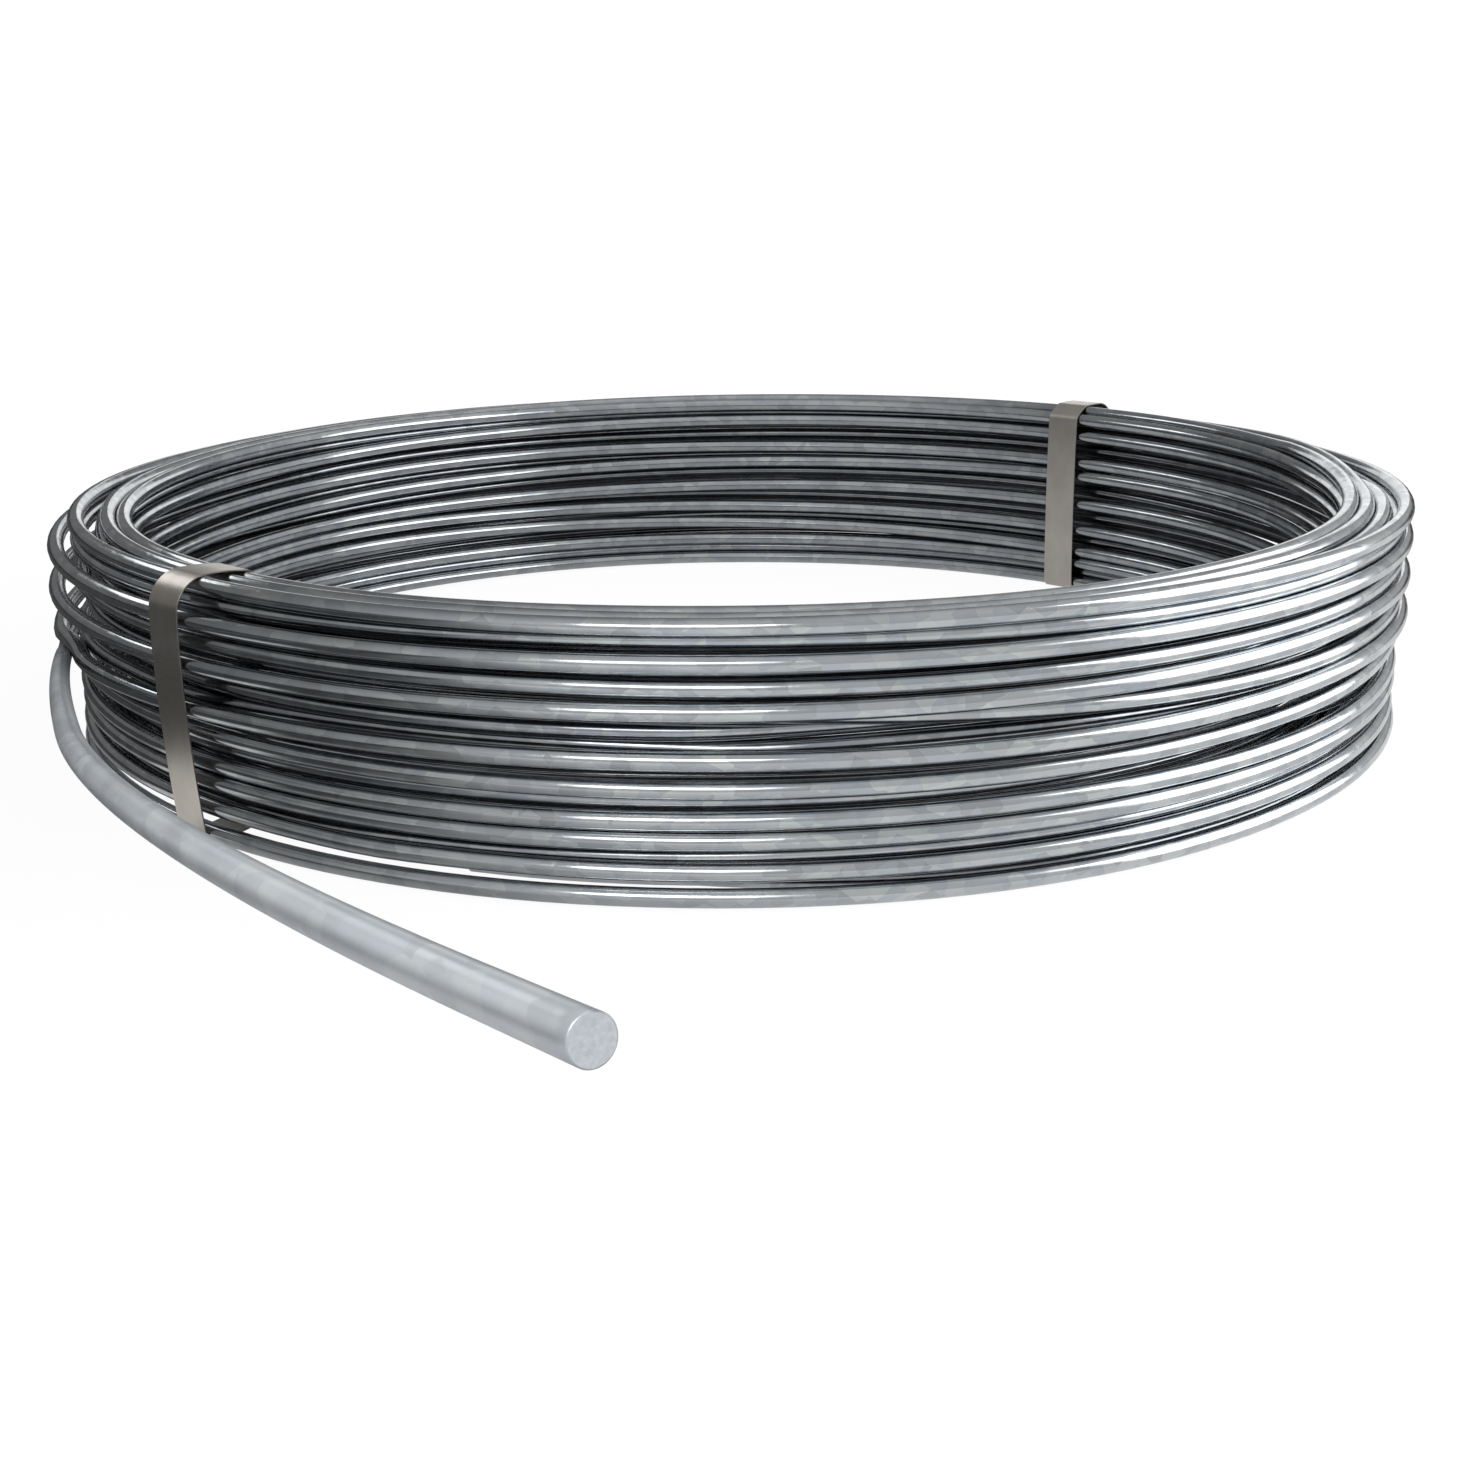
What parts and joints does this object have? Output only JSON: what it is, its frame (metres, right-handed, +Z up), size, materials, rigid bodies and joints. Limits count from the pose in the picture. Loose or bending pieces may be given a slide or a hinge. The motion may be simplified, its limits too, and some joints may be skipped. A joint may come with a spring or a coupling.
{
  "type": "coil of round conductor",
  "caption": "Coil of round galvanised steel conductor, bound by flat steel straps, with its free end sprung out; stock for earthing and lightning protection.",
  "frame": {"origin": "on the axis of the coil, at the floor that it lies on", "axes": "+Z up along the axis of the bore; the free end springs out towards -Y"},
  "size_m": [0.8853, 1.5145, 0.2349],
  "materials": {
    "zinc": "hot-dip galvanised, spangled",
    "strap": "satin rolled steel strip"
  },
  "bodies": {
    "root": {"conductor": "zinc", "strap_front": "strap", "strap_rear": "strap"}
  },
  "joints": []
}
